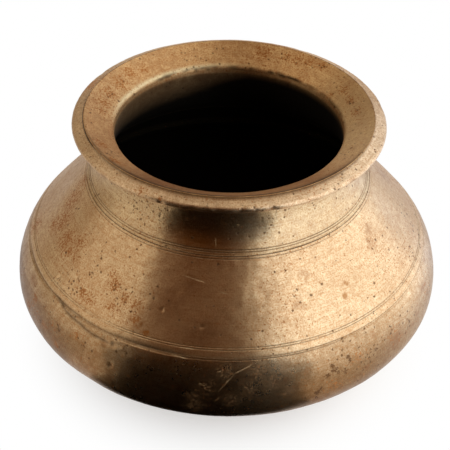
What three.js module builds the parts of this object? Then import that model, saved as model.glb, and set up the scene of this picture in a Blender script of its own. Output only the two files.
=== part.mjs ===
// Squat brass water pot with a waisted neck and a wide, thick mouth.
// Every piece is turned about the Z axis, and the pot stands on the flat under its bowl at z = 0.
// The bowl, the shoulder and the neck are brazed together in two lap joints, and a heavy ring is
// brazed under the flared edge of the mouth.
import * as THREE from 'three';

const DEGREE = Math.PI / 180;

// Driving dimensions of the body, in millimetres and degrees
const bellyRadius = 120;
const footRadius = 46;
const lowerTurnRadius = 20;
const lowerTurnAngle = 51;
const upperTurnRadius = 42.7;
const shoulderAngle = 41.6;
const bodyWall = 2.4;

// Driving dimensions of the neck and its flared mouth
const waistRadius = 69.5;
const waistRise = 20.4;
const neckFootReach = 8.7;
const neckFootWall = 5.1;
const throatInset = 7.5;
const throatRise = 7.9;
const throatRound = 2.6;
const flareAngle = 29;
const flareWall = 4.5;
const flareReach = 8.4;

// Driving dimensions of the heavy ring round the mouth, all from the flare's edge
const lipReach = 6.5;
const lipCrownDrop = 4.2;
const lipRound = 2;
const lipFootInset = 0.6;
const lipDepth = 9.8;
const lipBoreInset = 2.9;

// Driving dimensions of the joints and of the lines cut on the lathe
const jointClearance = 0.3;
const bellyJoint = 26.7;
const bellyLap = 8;
const neckLap = 8;
const brazeLeg = 2.6;
const lineWidth = 0.8;
const lineDepth = 0.4;
const linePitch = 1.15;
const neckLinesRise = 2;
const shoulderLinesRise = 3.6;

// Steps round the axis and along each arc of a profile
const turnSteps = 60;
const broadArcSteps = 6;
const smallArcSteps = 4;

// Radii of the neck and its mouth, outwards or inwards from the waist
const neckJointRadius = waistRadius + neckFootReach;
const throatRadius = waistRadius - throatInset;
const flareEdgeRadius = waistRadius + flareReach;

// Round and underside of the body. A lean is the angle by which a face points up or down from level.
const lowerLean = lowerTurnAngle * DEGREE;
const upperLean = shoulderAngle * DEGREE;
const lowerCentreRadius = bellyRadius - lowerTurnRadius;
const upperCentreRadius = bellyRadius - upperTurnRadius;
const lowerTurnEndRadius = lowerCentreRadius + lowerTurnRadius * Math.cos(lowerLean);
const undersideRadius = lowerTurnEndRadius / Math.cos(lowerLean);
const undersideRise = (undersideRadius - lowerTurnRadius) * Math.sin(lowerLean);
const footDrop = Math.sqrt(undersideRadius ** 2 - footRadius ** 2);
const bellyHeight = footDrop - undersideRise;
const undersideCentre = new THREE.Vector2(0, footDrop);

// Distances along the outside of the body, upwards from the belly's widest plane
const lowerTurnLength = lowerTurnRadius * lowerLean;
const upperTurnLength = upperTurnRadius * upperLean;
const upperTurnEndRadius = upperCentreRadius + upperTurnRadius * Math.cos(upperLean);
const neckJoint = upperTurnLength + (upperTurnEndRadius - neckJointRadius) / Math.sin(upperLean);

function onCircle(centre, radius, angle) {
  return new THREE.Vector2(centre.x + radius * Math.cos(angle), centre.y + radius * Math.sin(angle));
}

function arc(centre, radius, fromAngle, toAngle, steps) {
  return Array.from({ length: steps + 1 }, (unused, i) =>
    onCircle(centre, radius, THREE.MathUtils.lerp(fromAngle, toAngle, i / steps)));
}

// A point of the body's wall: a distance along its outside, then a depth under that face.
function inWall(distance, depth) {
  if (distance < 0) {
    const centre = new THREE.Vector2(lowerCentreRadius, bellyHeight);
    return onCircle(centre, lowerTurnRadius - depth, distance / lowerTurnRadius);
  }
  const centre = new THREE.Vector2(upperCentreRadius, bellyHeight);
  const turned = Math.min(distance, upperTurnLength);
  const point = onCircle(centre, upperTurnRadius - depth, turned / upperTurnRadius);
  const straight = distance - turned;
  point.x -= straight * Math.sin(upperLean);
  point.y += straight * Math.cos(upperLean);
  return point;
}

// Points of the wall from one distance to another at one depth, close only where the wall is curved.
function wall(from, to, depth) {
  const low = Math.min(from, to);
  const high = Math.max(from, to);
  const stepLength = upperTurnLength / broadArcSteps;
  const count = Math.ceil((Math.min(high, upperTurnLength) - low) / stepLength);
  const distances = [low];
  for (let i = 1; i < count; i += 1) {
    distances.push(low + i * stepLength);
  }
  if (low < upperTurnLength && upperTurnLength < high) {
    distances.push(upperTurnLength);
  }
  distances.push(high);
  const points = distances.map((distance) => inWall(distance, depth));
  return from < to ? points : points.reverse();
}

// Cuts V-shaped turned lines into an outline, into its left-hand side, at distances along it.
function incise(outline, stations) {
  const lengths = [0];
  for (let i = 1; i < outline.length; i += 1) {
    lengths.push(lengths[i - 1] + outline[i].distanceTo(outline[i - 1]));
  }
  const pointAt = (station, depth) => {
    const passed = lengths.filter((length) => length < station).length;
    const i = THREE.MathUtils.clamp(passed, 1, lengths.length - 1);
    const along = outline[i].clone().sub(outline[i - 1]).normalize();
    const point = outline[i - 1].clone().addScaledVector(along, station - lengths[i - 1]);
    return point.add(new THREE.Vector2(-along.y, along.x).multiplyScalar(depth));
  };
  const isClear = (length) => stations.every((station) => Math.abs(station - length) > lineWidth);
  const kept = outline.map((point, i) => ({ at: lengths[i], point })).filter(({ at }) => isClear(at));
  const cuts = stations.flatMap((station) => [
    { at: station - lineWidth / 2, point: pointAt(station - lineWidth / 2, 0) },
    { at: station, point: pointAt(station, lineDepth) },
    { at: station + lineWidth / 2, point: pointAt(station + lineWidth / 2, 0) },
  ]);
  return [...kept, ...cuts].sort((a, b) => a.at - b.at).map(({ point }) => point);
}

// Turns an outline about the Z axis. It runs round the metal with the metal on its left, and is
// closed here unless both of its ends are on the axis.
function turned(name, outline, colour, roughness) {
  const first = outline[0];
  const onAxis = first.x === 0;
  const profile = onAxis ? outline : [...outline, first.clone()];
  const geometry = new THREE.LatheGeometry(profile, turnSteps);
  geometry.rotateX(Math.PI / 2);
  const material = new THREE.MeshStandardMaterial({ color: colour, roughness, metalness: 1 });
  const mesh = new THREE.Mesh(geometry, material);
  mesh.name = name;
  return mesh;
}

// Lower half of the body: flat foot, round underside, belly, and an upstand inside the shoulder.
function makeBowl() {
  const footAngle = -Math.acos(footRadius / undersideRadius);
  const innerRadius = undersideRadius - bodyWall;
  const innerFootAngle = -Math.asin((undersideCentre.y - bodyWall) / innerRadius);
  const upstandDepth = bodyWall + jointClearance;
  const upstandInnerDepth = upstandDepth + bodyWall;
  const joggleStart = bellyJoint - bodyWall;
  const underside = arc(undersideCentre, undersideRadius, footAngle, -lowerLean, broadArcSteps);
  const lowerTurn = wall(-lowerTurnLength, 0, 0);
  const belly = incise(wall(0, bellyJoint, 0), [bellyJoint - linePitch]);
  return turned('bowl', [
    new THREE.Vector2(0, 0),
    ...underside,
    ...lowerTurn.slice(1),
    ...belly.slice(1),
    ...wall(bellyJoint, bellyJoint + bellyLap, upstandDepth),
    ...wall(bellyJoint + bellyLap, bellyJoint, upstandInnerDepth),
    ...wall(joggleStart, 0, bodyWall),
    ...wall(0, -lowerTurnLength, bodyWall).slice(1),
    ...arc(undersideCentre, innerRadius, -lowerLean, innerFootAngle, broadArcSteps).slice(1),
    new THREE.Vector2(0, bodyWall),
  ], 0x8f7350, 0.36);
}

// Upper half of the body: a cone from the belly joint to the neck joint, rounded over at its foot.
function makeShoulder() {
  const from = bellyJoint + jointClearance;
  const to = neckJoint - jointClearance;
  const length = to - from;
  const lowerLines = [shoulderLinesRise, shoulderLinesRise + linePitch];
  const outside = incise(wall(from, to, 0), [...lowerLines, length - linePitch]);
  return turned('shoulder', [...outside, ...wall(to, from, bodyWall)], 0xb99a6a, 0.34);
}

// Heights and directions of the neck and its flared mouth
const waistHeight = inWall(neckJoint, 0).y + waistRise;
const throatCorner = new THREE.Vector2(throatRadius, waistHeight + throatRise);
const flareSlope = flareAngle * DEGREE;
const flareOut = new THREE.Vector2(Math.cos(flareSlope), Math.sin(flareSlope));
const flareUp = new THREE.Vector2(-Math.sin(flareSlope), Math.cos(flareSlope));
const flareLength = (flareEdgeRadius - throatRadius) / flareOut.x;
const flareEdge = throatCorner.clone().addScaledVector(flareOut, flareLength);

// An arc that leaves the shoulder's slope at a depth under its face and ends plumb, at waist height.
function cove(depth, endRadius) {
  const start = inWall(neckJoint, depth);
  const slopeRise = (start.x - endRadius) / Math.tan(upperLean);
  const radius = (waistHeight - start.y - slopeRise) * Math.sin(upperLean) / (1 - Math.cos(upperLean));
  const centre = new THREE.Vector2(endRadius + radius, waistHeight);
  return { centre, radius };
}

// Arc under the flare: plumb at the waist, and tangent to the flare's underside.
const underFlareStart = throatCorner.clone().addScaledVector(flareUp, -flareWall);
const underFlareRadius = ((waistRadius - underFlareStart.x) * flareOut.y
  + (underFlareStart.y - waistHeight) * flareOut.x) / (1 - flareOut.y);
const underFlareCentre = new THREE.Vector2(waistRadius + underFlareRadius, waistHeight);
const underFlareEndAngle = Math.PI / 2 + flareSlope;

// Neck: a foot flange under the shoulder's edge, a waisted collar, and the flare of the mouth.
function makeNeck() {
  const flangeDepth = bodyWall + jointClearance;
  const outer = cove(0, waistRadius);
  const inner = cove(neckFootWall, throatRadius);
  const coveStart = Math.PI + upperLean;
  const roundTangent = throatRound * Math.tan((Math.PI / 2 - flareSlope) / 2);
  const roundCentre = new THREE.Vector2(throatRadius + throatRound, throatCorner.y - roundTangent);
  const outerCove = arc(outer.centre, outer.radius, coveStart, Math.PI, broadArcSteps);
  const underFlare = arc(underFlareCentre, underFlareRadius, Math.PI, underFlareEndAngle, smallArcSteps);
  const throat = arc(roundCentre, throatRound, Math.PI / 2 + flareSlope, Math.PI, smallArcSteps);
  const innerCove = arc(inner.centre, inner.radius, Math.PI, coveStart, broadArcSteps);
  const face = [inWall(neckJoint, 0), ...outerCove];
  return turned('neck', [
    ...incise(face, [neckLinesRise, neckLinesRise + linePitch]),
    ...underFlare.slice(1),
    flareEdge.clone().addScaledVector(flareUp, -flareWall),
    flareEdge.clone(),
    ...throat,
    ...innerCove,
    inWall(neckJoint - neckLap, neckFootWall),
    inWall(neckJoint - neckLap, flangeDepth),
    inWall(neckJoint, flangeDepth),
  ], 0xa5825a, 0.4);
}

// Radii of the ring's bore and of the foot of its lower bevel
const lipBoreRadius = flareEdgeRadius - lipBoreInset;
const lipFootRadius = flareEdgeRadius - lipFootInset;

// Heavy ring round the mouth, rebated to take the flare's edge and bevelled above and below.
function makeLipRing() {
  const beside = flareEdge.clone().addScaledVector(flareOut, jointClearance);
  const rebateCorner = beside.clone().addScaledVector(flareUp, -flareWall - jointClearance);
  const alongRebate = (rebateCorner.x - lipBoreRadius) / flareOut.x;
  const rebateEnd = rebateCorner.clone().addScaledVector(flareOut, -alongRebate);
  const crownCentre = flareEdge.clone().add(new THREE.Vector2(lipReach - lipRound, -lipCrownDrop));
  const foot = new THREE.Vector2(lipFootRadius, flareEdge.y - lipDepth);
  const towardsTop = Math.atan2(beside.y - crownCentre.y, beside.x - crownCentre.x);
  const towardsFoot = Math.atan2(foot.y - crownCentre.y, foot.x - crownCentre.x);
  const reachTop = Math.acos(lipRound / crownCentre.distanceTo(beside));
  const reachFoot = Math.acos(lipRound / crownCentre.distanceTo(foot));
  const crown = arc(crownCentre, lipRound, towardsFoot + reachFoot, towardsTop - reachTop, smallArcSteps);
  return turned('lip_ring', [
    new THREE.Vector2(lipBoreRadius, foot.y),
    foot,
    ...crown,
    beside,
    rebateCorner,
    rebateEnd,
  ], 0xab8a60, 0.38);
}

// Run of spelter inside a lap joint, in the corner between the end of the lap and the other wall.
// The side is 1 where the lap ends above the joint, and -1 where it ends below.
function makeLapBraze(name, lapEnd, side) {
  const near = lapEnd + side * jointClearance;
  const far = near + side * brazeLeg;
  const depth = bodyWall + jointClearance;
  const corners = [inWall(near, depth + brazeLeg), inWall(near, depth), inWall(far, depth)];
  return turned(name, side > 0 ? corners : corners.reverse(), 0xc2a765, 0.55);
}

// A point just clear of the neck's outside, at a distance along it from the end of the arc under the
// flare: outwards along the flare's straight underside, or back down the arc where it is negative.
function underFlareAt(distance) {
  const radius = underFlareRadius - jointClearance;
  const angle = underFlareEndAngle - Math.min(distance, 0) / underFlareRadius;
  return onCircle(underFlareCentre, radius, angle).addScaledVector(flareOut, Math.max(distance, 0));
}

// Run of spelter in the corner between the bore of the lip ring and the neck under the flare.
function makeLipBraze() {
  const boreFace = lipBoreRadius - jointClearance;
  const arcEnd = underFlareAt(0);
  const beyond = (boreFace - arcEnd.x) / flareOut.x;
  const within = Math.acos((underFlareCentre.x - boreFace) / (underFlareRadius - jointClearance));
  const corner = beyond > 0 ? beyond : (underFlareEndAngle - Math.PI + within) * underFlareRadius;
  const neckSide = Array.from({ length: smallArcSteps + 1 }, (unused, i) =>
    underFlareAt(corner - brazeLeg * i / smallArcSteps));
  const low = new THREE.Vector2(boreFace, neckSide[smallArcSteps].y);
  return turned('lip_braze', [low, ...neckSide], 0xc2a765, 0.55);
}

const pot = new THREE.Group();
pot.add(
  makeBowl(),
  makeShoulder(),
  makeNeck(),
  makeLipRing(),
  makeLapBraze('belly_braze', bellyJoint + bellyLap, 1),
  makeLapBraze('neck_braze', neckJoint - neckLap, -1),
  makeLipBraze(),
);

export default pot;
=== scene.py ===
"""Water pot of old brass: its finely turned surfaces, their patina and wear, and a plain studio.

Shapes are in millimetres and become metres in the meshes. Azimuths are in degrees round the pot, with
0 at the side that faces the camera and 90 at its right.
"""
import math

import bpy
import numpy as np
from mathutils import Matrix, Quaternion, Vector


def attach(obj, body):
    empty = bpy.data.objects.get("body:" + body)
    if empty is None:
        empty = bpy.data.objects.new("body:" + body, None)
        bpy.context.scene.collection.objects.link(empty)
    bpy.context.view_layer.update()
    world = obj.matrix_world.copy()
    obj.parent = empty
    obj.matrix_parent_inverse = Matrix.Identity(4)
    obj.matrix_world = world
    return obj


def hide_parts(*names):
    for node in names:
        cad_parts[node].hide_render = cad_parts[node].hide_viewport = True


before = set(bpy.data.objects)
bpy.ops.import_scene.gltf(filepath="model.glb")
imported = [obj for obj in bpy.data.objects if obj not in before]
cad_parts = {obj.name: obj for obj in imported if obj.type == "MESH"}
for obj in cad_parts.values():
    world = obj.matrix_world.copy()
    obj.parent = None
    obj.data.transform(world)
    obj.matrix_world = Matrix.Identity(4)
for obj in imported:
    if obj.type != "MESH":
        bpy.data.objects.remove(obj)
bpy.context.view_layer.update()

MM = 0.001

# Body, as the solids have it
BELLY_RADIUS = 120
FOOT_RADIUS = 46
LOWER_TURN_RADIUS = 20
LOWER_LEAN = math.radians(51)
UPPER_TURN_RADIUS = 42.7
UPPER_LEAN = math.radians(41.6)
BODY_WALL = 2.4
LOWER_TURN_LENGTH = LOWER_TURN_RADIUS * LOWER_LEAN
UPPER_TURN_LENGTH = UPPER_TURN_RADIUS * UPPER_LEAN
LOWER_TURN_END = BELLY_RADIUS - LOWER_TURN_RADIUS * (1 - math.cos(LOWER_LEAN))
UPPER_TURN_END = BELLY_RADIUS - UPPER_TURN_RADIUS * (1 - math.cos(UPPER_LEAN))
UNDERSIDE_RADIUS = LOWER_TURN_END / math.cos(LOWER_LEAN)
FOOT_DROP = math.sqrt(UNDERSIDE_RADIUS**2 - FOOT_RADIUS**2)
BELLY_HEIGHT = FOOT_DROP - (UNDERSIDE_RADIUS - LOWER_TURN_RADIUS) * math.sin(LOWER_LEAN)
UNDERSIDE_LENGTH = UNDERSIDE_RADIUS * (math.pi / 2 - LOWER_LEAN)

# Neck and its flared mouth, as the solids have them
WAIST_RADIUS = 69.5
WAIST_RISE = 20.4
NECK_FOOT_RADIUS = 78.2
NECK_FOOT_WALL = 5.1
THROAT_RADIUS = 62
THROAT_RISE = 7.9
THROAT_ROUND = 2.6
FLARE_SLOPE = math.radians(29)
FLARE_WALL = 4.5
FLARE_EDGE_RADIUS = 77.9

# Heavy ring round the mouth, as the solids have it
LIP_RADIUS = 84.4
LIP_CROWN_DROP = 4.2
LIP_ROUND = 2
LIP_FOOT_RADIUS = 77.3
LIP_DEPTH = 9.8
LIP_BORE_RADIUS = 75

# Joints and turned lines, as distances up the outside of the body from its widest plane
CLEARANCE = 0.3
SEAM = 0.04
BELLY_JOINT = 26.7
BELLY_LAP = 8
NECK_JOINT = UPPER_TURN_LENGTH + (UPPER_TURN_END - NECK_FOOT_RADIUS) / math.sin(UPPER_LEAN)
NECK_LAP = 8
BRAZE_LEG = 2.6
LINE_WIDTH = 0.65
LINE_DEPTH = 0.17
LINE_PITCH = 1.15
LINE_DIRT = 0.75
NECK_JOINT_DIRT = 0.45
DIRT_SPREAD = 0.25
BOWL_LINES = (BELLY_JOINT - LINE_PITCH,)
SHOULDER_LINES = (BELLY_JOINT + 3.9, BELLY_JOINT + 3.9 + LINE_PITCH, NECK_JOINT - 1.45)
NECK_LINES = (2, 2 + LINE_PITCH)


def on_circle(centre, radius, angle):
    """Points (radius, height) on a circle: its centre plus its radius along the angle from level."""
    return np.stack([centre[0] + radius * np.cos(angle), centre[1] + radius * np.sin(angle)], axis=-1)


def body_wall(distance, depth):
    """Points (radius, height) of the body's wall. Along the outside they follow the round underside,
    the tight lower turn, the wide upper turn and then the straight cone, and they lie a depth under
    that face. The underside stops flat at the foot, with a short parabola between flat and round."""
    distance, depth = np.broadcast_arrays(np.asarray(distance, float), np.asarray(depth, float))
    below = -LOWER_LEAN + (distance + LOWER_TURN_LENGTH) / UNDERSIDE_RADIUS
    underside = on_circle((0, FOOT_DROP), UNDERSIDE_RADIUS - depth, below)
    lower_centre = (BELLY_RADIUS - LOWER_TURN_RADIUS, BELLY_HEIGHT)
    lower = on_circle(lower_centre, LOWER_TURN_RADIUS - depth, distance / LOWER_TURN_RADIUS)
    turned = np.minimum(distance, UPPER_TURN_LENGTH)
    upper_centre = (BELLY_RADIUS - UPPER_TURN_RADIUS, BELLY_HEIGHT)
    upper = on_circle(upper_centre, UPPER_TURN_RADIUS - depth, turned / UPPER_TURN_RADIUS)
    upper = upper + (distance - turned)[..., None] * (-math.sin(UPPER_LEAN), math.cos(UPPER_LEAN))
    on_underside = (distance < -LOWER_TURN_LENGTH)[..., None]
    points = np.where(on_underside, underside, np.where((distance < 0)[..., None], lower, upper))
    over = points[..., 1] - np.minimum(depth, BODY_WALL)
    blend = 0.3
    eased = np.where(over < -blend, 0, np.where(over > blend, over, (over + blend) ** 2 / (4 * blend)))
    points[..., 1] += eased - over
    points[..., 0] = np.maximum(points[..., 0], 0)
    return points


def outline(*runs):
    """Rows round a turned piece's outline, counterclockwise with the metal on the left, as columns:
    two coordinates, the number of the run and the distance along it. A run is its points, the spacing
    of its rows, the rounding of the corner at its end, and the fine lines on it, which get rows of
    their own. The spacing is a number, or stretches that each end at a distance and have their own. A
    corner is bridged by a parabola between the runs' shortened ends."""
    faces = []
    for i, (points, spacing, rounding, *lines) in enumerate(runs):
        points = np.asarray(points, float)
        lengths = np.append(0, np.cumsum(np.hypot(*np.diff(points, axis=0).T)))
        start, stop = runs[i - 1][2], lengths[-1] - rounding
        along = np.array([start])
        for until, step in spacing if isinstance(spacing, tuple) else ((stop, spacing),):
            until = min(until, stop)
            count = max(2, math.ceil((until - along[-1]) / step) + 1)
            along = np.append(along, np.linspace(along[-1], until, count)[1:])
        for line in lines:
            close = LINE_WIDTH * np.linspace(-0.7, 0.7, 7)
            along = along[(abs(along - line) > LINE_WIDTH) | (along == start) | (along == stop)]
            along = np.sort(np.append(along, line + close))
        face = [np.interp(along, lengths, points[:, 0]), np.interp(along, lengths, points[:, 1])]
        faces.append(np.column_stack([*face, np.full(len(along), i), along]))
    rows = []
    for i, face in enumerate(faces):
        tip, ahead = np.asarray(runs[i][0][-1], float), faces[(i + 1) % len(faces)][0, :2]
        if runs[i][2] == 0:
            rows.append(face[:-1] if np.allclose(tip, ahead) else face)
            continue
        t = np.array([[0.25], [0.5], [0.75]])
        bridge = (1 - t) ** 2 * face[-1, :2] + 2 * t * (1 - t) * tip + t**2 * ahead
        rows.append(np.vstack([face, np.column_stack([bridge, np.tile(face[-1, 2:], (3, 1))])]))
    return np.vstack(rows)


def turned_mesh(name, section, tints, finish):
    """Mesh of a turned piece from its outlines at even azimuths (turns, rows, radius and height): each
    is placed at its azimuth from -Y, and neighbours are joined by faces that look outwards. A row on
    the axis becomes one point. Tints are attributes of the points, and a row's finish is the number of
    its material."""
    turns, rows = section.shape[:2]
    angle = np.arange(turns)[:, None] * math.tau / turns
    radius, height = section[..., 0], section[..., 1]
    points = np.stack([radius * np.sin(angle), -radius * np.cos(angle), height], axis=-1) * MM
    on_axis = radius.max(axis=0) < 1e-6
    index = np.arange(turns * rows).reshape(turns, rows)
    index[:, on_axis] = index[0, on_axis]
    here, there = index, np.roll(index, -1, axis=0)
    last = rows - 1 if on_axis.any() else rows
    up = (np.arange(last) + 1) % rows
    corners = np.stack([here[:, :last], there[:, :last], there[:, up], here[:, up]], axis=-1)
    finish = np.broadcast_to(finish[:last], (turns, last)).reshape(-1)
    corners = corners.reshape(-1, 4)
    used, flat = np.unique(corners, return_inverse=True)
    corners = flat.reshape(-1, 4)
    low_point = corners[:, 0] == corners[:, 1]
    high_point = corners[:, 2] == corners[:, 3]
    quads = corners[~low_point & ~high_point]
    fans = np.vstack([corners[low_point][:, [0, 2, 3]], corners[high_point][:, [0, 1, 2]]])
    mesh = bpy.data.meshes.new(name)
    mesh.from_pydata(points.reshape(-1, 3)[used].tolist(), [], quads.tolist() + fans.tolist())
    finish = np.concatenate([finish[~low_point & ~high_point], finish[low_point], finish[high_point]])
    mesh.polygons.foreach_set("material_index", finish.astype(np.int32))
    mesh.shade_smooth()
    for tint, values in tints.items():
        layer = mesh.attributes.new(tint, "FLOAT", "POINT")
        values = np.broadcast_to(values, (turns, rows)).reshape(-1)[used]
        layer.data.foreach_set("value", values.astype(np.float32))
    mesh.update()
    return mesh


def shown(data):
    """An object of the scene that shows the data and has its name."""
    thing = bpy.data.objects.new(data.name, data)
    bpy.context.collection.objects.link(thing)
    return thing


def finished_piece(node, section, tints, finish, materials):
    """Makes the piece that stands for a node of the solids, with its materials, hangs it under the root
    body and hides the node's part.
    """
    piece = shown(turned_mesh(node + "_worked", section, tints, finish))
    for material in materials:
        piece.data.materials.append(material)
    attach(piece, "root")
    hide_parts(node)


def azimuths(turns):
    """A column of even azimuths in degrees, from -180 up to 180."""
    return ((np.arange(turns) * 360 / turns + 180) % 360 - 180)[:, None]


def round_from(azimuth, middle):
    """Degrees round the pot from a middle azimuth, from -180 to 180."""
    return (azimuth - middle + 180) % 360 - 180


def stretch(azimuth, first, last, ease):
    """1 between two azimuths and 0 outside them, with smooth ends."""
    off = abs(round_from(azimuth, (first + last) / 2)) - (last - first) / 2
    t = np.clip(0.5 - off / ease, 0, 1)
    return t * t * (3 - 2 * t)


def bell(off, spread):
    """A bell curve of a distance: 1 at its middle, and nearly 0 at twice its spread."""
    return np.exp(-((off / spread) ** 2))


def waves(azimuth, distance, radius, shortest, longest, count, seed):
    """Sum of random cosines with whole numbers of waves round the pot, about 1 at its greatest. The
    radius of the face turns degrees into millimetres, here and in the functions below."""
    rng = np.random.default_rng(seed)
    total = 0
    for _ in range(count):
        length, heading = rng.uniform(shortest, longest), rng.uniform(0, math.pi)
        phase = rng.uniform(0, math.tau)
        whole = round(math.tau * radius * math.cos(heading) / length)
        rise = math.tau * math.sin(heading) / length
        total += np.cos(whole * np.radians(azimuth) + rise * distance + phase)
    return total / math.sqrt(2 * count)


def turned_line(distance, station):
    """1 at the bottom of a V-shaped line, falling evenly to 0 at its edges."""
    return np.clip(1 - abs(distance - station) / (LINE_WIDTH / 2), 0, 1)


def off_squared(azimuth, distance, radius, place):
    """Squared distance on a turned face from a place, which starts with its azimuth and its distance
    along the face."""
    across = np.radians(round_from(azimuth, place[0])) * radius
    return across**2 + (distance - place[1]) ** 2


def spot(azimuth, distance, radius, place):
    """A soft round mark, 1 in its middle: a bell curve of the distance from its place, which ends with
    its spread."""
    return np.exp(-off_squared(azimuth, distance, radius, place) / place[2] ** 2)


def pits(azimuth, distance, radius, places, reach, depth):
    """Small round-bottomed pits: a depth times (1 - (distance from the middle / reach) squared)."""
    total = 0
    for place in places:
        total += np.clip(1 - off_squared(azimuth, distance, radius, place) / reach**2, 0, 1)
    return depth * total


def scattered(count, first, last, seed):
    """Random places round the pot, between two distances along a face."""
    rng = np.random.default_rng(seed)
    return list(zip(rng.uniform(-180, 180, count), rng.uniform(first, last, count)))


def belly_crease(azimuth, distance):
    """Depth of the worn lap joint: a soft crease along it at the left, and a second one that leaves it
    and sinks away below it, both bell curves across, with lumps of the beaten sheet between them."""
    fold = stretch(azimuth, -78, -14, 14)
    crease = 0.45 * fold * bell(distance - BELLY_JOINT + 0.2, 0.9)
    leaving = np.clip((azimuth + 54) / 9, 0, 1)
    sunk = 3.4 * leaving**2 * (3 - 2 * leaving) + 0.14 * np.clip(azimuth + 46, 0, 20)
    below = BELLY_JOINT - sunk + 0.3 * np.sin(np.radians(azimuth * 31))
    second = 0.65 * stretch(azimuth, -53, -31, 6) * bell(distance - below, 0.8)
    lumps = 0.5 + 0.5 * waves(azimuth, distance, 112, 3, 7, 18, seed=31)
    between = 0.25 * stretch(azimuth, -53, -27, 8) * lumps * bell(distance - below - 1, 3)
    return crease + second + between


# Places on the body: an azimuth, a distance up its outside and a spread, and for dents a depth
BODY_DENTS = (
    (-62, 8, 13, 0.5), (-38, -9, 10, 0.4), (52, 4, 15, 0.45), (118, 12, 17, 0.6), (-140, 2, 14, 0.5),
    (165, 44, 12, 0.3), (24, 46, 14, 0.25), (-96, 55, 12, 0.3), (80, 60, 10, 0.25), (-8, 30, 9, 0.2),
)
BODY_PITS = (
    (-56.8, 35.1), (-50.5, 42.3), (-46.2, 49.1), (-19.1, 46.9), (-6.7, 41.8), (-29.8, 10.6), (-28.5, -1.4),
    (-48.6, 12.9), (31.3, 24.9), (44.3, 14.3),
)


def body_relief(azimuth, distance):
    """How far the body's outside lies under its solid, never above it: dents, slight waves from the
    hammer, turned lines, the worn joint and pits."""
    face = azimuth, distance
    relief = 0.1 + 0.09 * waves(*face, 110, 16, 44, 24, seed=3)
    relief += 0.025 * waves(*face, 110, 5, 11, 30, seed=4)
    for dent in BODY_DENTS:
        relief += dent[3] * spot(*face, 110, dent)
    for station in BOWL_LINES + SHOULDER_LINES:
        worn = 0.75 * stretch(azimuth, 34, 140, 12) * (station < BELLY_JOINT)
        worn += 0.4 * stretch(azimuth, -24, 16, 14) * (station < NECK_JOINT - 5)
        relief += (1 - worn) * LINE_DEPTH * turned_line(distance, station)
    relief += pits(*face, 105, scattered(130, -60, 76, seed=11), 0.9, 0.1)
    relief += pits(*face, 105, BODY_PITS, 1.2, 0.35)
    return np.maximum(relief + belly_crease(*face), 0)


def joint_grime_and_crease_shade(azimuth, distance):
    """Dirt in the turned lines and the joints, and painted shade along the worn crease of the body, from
    0 to 1. The dirt is thin at the left and the right of the belly joint, where the lines are rubbed."""
    worn = 0.55 + 0.3 * waves(azimuth, distance, 110, 20, 70, 10, seed=21)
    grime = np.zeros((len(azimuth), len(distance)))
    for station in BOWL_LINES + SHOULDER_LINES + (BELLY_JOINT, NECK_JOINT):
        strength = NECK_JOINT_DIRT if station == NECK_JOINT else LINE_DIRT
        grime = np.maximum(grime, strength * worn * bell(distance - station, DIRT_SPREAD))
    sides = np.maximum(stretch(azimuth, -110, -14, 20), stretch(azimuth, 30, 140, 16))
    rubbed = 1 - 0.7 * sides * (distance < BELLY_JOINT + 1)
    # The crease's share is painted shade, standing for the shading of its step
    return np.clip(grime * rubbed + 0.85 * belly_crease(azimuth, distance), 0, 1)


SHOULDER_RUST = (
    (-74.8, 48.1, 6), (-72.2, 53.9, 7), (-64.2, 52.6, 7), (-57.7, 56.6, 6), (-84.9, 31.2, 7),
    (-78.6, 67, 8), (-81.4, 76, 6), (-60, 49, 3.5), (-55, 49, 2.6), (-38.6, 54.4, 3), (-36.7, 51.3, 4),
    (-27.1, 45.9, 3.2), (-31.5, 46.6, 2.6), (-45.8, 37.5, 2.6), (-42.1, 36.9, 2.6), (-22, 33.5, 2.4),
    (-26, 38, 2.4), (-35, 39, 2.4), (140, 50, 12), (-160, 44, 10),
)
SHOULDER_FRECKLES = (
    (16.8, 76.1, 4), (22, 76.5, 5), (28, 75.9, 4), (33, 74.9, 3), (20.6, 69, 6), (25.8, 63.2, 2.2),
    (29.5, 62.5, 2), (33.3, 61.6, 1.8), (16, 59, 8), (20, 52, 9), (14, 44, 8), (22, 41, 7), (-36, 50, 9),
    (-46, 38, 10), (-30, 42, 12), (-62, 44, 14), (-75, 60, 12), (60, 50, 14), (70, 40, 12), (110, 46, 20),
    (-120, 50, 20), (170, 40, 24),
)
SHOULDER_SPOTS = (
    (-56.8, 35.1, 3), (-50.5, 42.3, 3), (-46.2, 49.1, 3), (-50, 38, 6), (-34, 48, 5), (22, 55, 3),
    (150, 58, 9), (-125, 40, 10), (85, 42, 8), (44, 29, 4), (70, 36, 5),
)
SHOULDER_STAINS = (
    (-18, 52, 10), (-12, 62, 6), (60.9, 66.8, 6), (27, 63.2, 4), (22.1, 49.5, 4), (-26, 37.1, 5),
    (58, 60, 5), (100, 60, 8), (-120, 52, 9), (-6, 38, 8),
)
SHOULDER_BLOTCHES = ((39.8, 51.6, 1.3), (40.4, 50.4, 1.2), (37.9, 45.4, 2), (-22, 33.5, 2), (-24, 37, 1.4))
BOWL_STAINS = ((130, 6, 7), (-110, -4, 8), (-66, 20, 5), (50, 8, 7), (170, 10, 9))
BOWL_RUST = ((-55, 6, 2.6), (-49, 1.5, 2.4), (150, 12, 12), (-62, 14, 3), (-42, 16, 2.4), (-66, 3, 3))
BOWL_FRECKLES = (
    (35, 12, 9), (50, 14, 10), (28, 2, 7), (-50, 12, 10), (-62, 4, 10), (-40, 18, 6), (-75, 10, 12),
    (70, 14, 12), (120, 8, 16), (-130, 8, 16), (175, 8, 16),
)
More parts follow.
